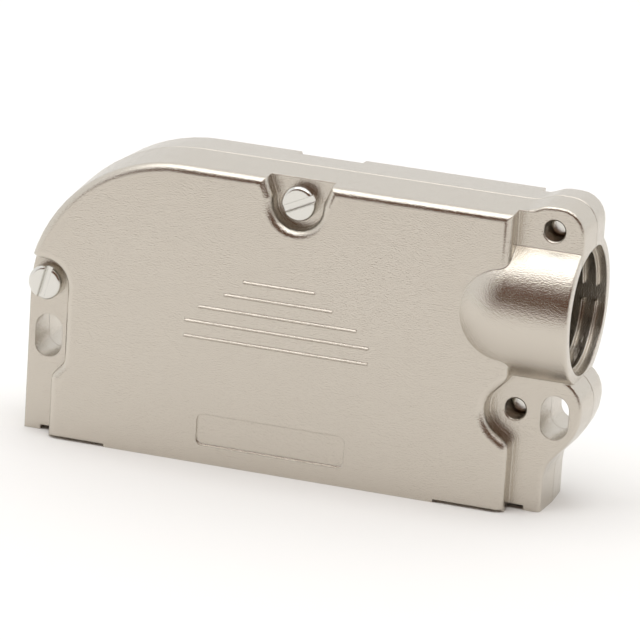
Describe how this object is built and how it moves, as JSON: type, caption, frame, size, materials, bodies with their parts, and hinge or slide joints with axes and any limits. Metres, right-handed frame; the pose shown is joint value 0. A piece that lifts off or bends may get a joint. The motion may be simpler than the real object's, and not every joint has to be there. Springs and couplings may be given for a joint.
{
  "type": "d-sub hood",
  "caption": "Two-piece die-cast hood with a side cable entry, standing on the mouth that takes the connector.",
  "frame": {"origin": "middle of the connector's flange seat, half way between the two fixing holes on the parting face", "axes": "+Z away from the connector, up the hood; +X along the hood towards the cable entry; -Y towards the front half"},
  "size_m": [0.0796, 0.0208, 0.0429],
  "materials": {
    "nickel_plated_zinc": "satin",
    "plated_steel": "satin"
  },
  "bodies": {
    "root": {"front_shell": "nickel_plated_zinc", "rear_shell": "nickel_plated_zinc", "top_screw": "plated_steel", "closed_end_screw": "plated_steel", "lug_screw": "plated_steel", "entry_screw": "plated_steel"}
  },
  "joints": []
}
